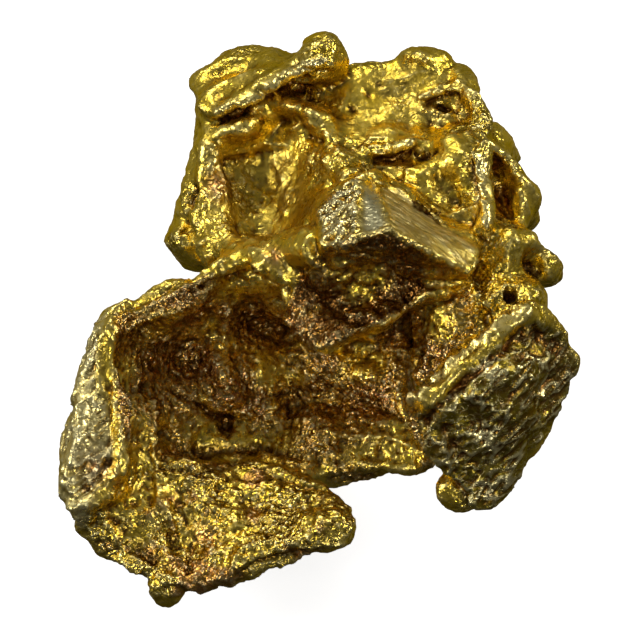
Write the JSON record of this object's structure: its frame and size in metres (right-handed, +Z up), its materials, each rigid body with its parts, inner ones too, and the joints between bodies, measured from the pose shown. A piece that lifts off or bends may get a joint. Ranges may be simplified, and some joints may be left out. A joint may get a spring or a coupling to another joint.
{
  "type": "gold nugget",
  "caption": "Natural gold nugget: a thick crumpled leaf of metal with a scoop-shaped hollow, an overhanging faceted block, a flat flap and a lumpy back.",
  "frame": {"origin": "centre of the base of the bounding box, on the surface that the nugget rests on", "axes": "+Z up as the nugget lies, +Y along its length away from the scoop's lip, +X to the right"},
  "size_m": [0.0208, 0.0236, 0.0128],
  "materials": {
    "gold": "worn natural gold: satin on the bumps, grainy and red-brown in the hollows"
  },
  "bodies": {
    "root": {"gold_nugget": "gold"}
  },
  "joints": []
}
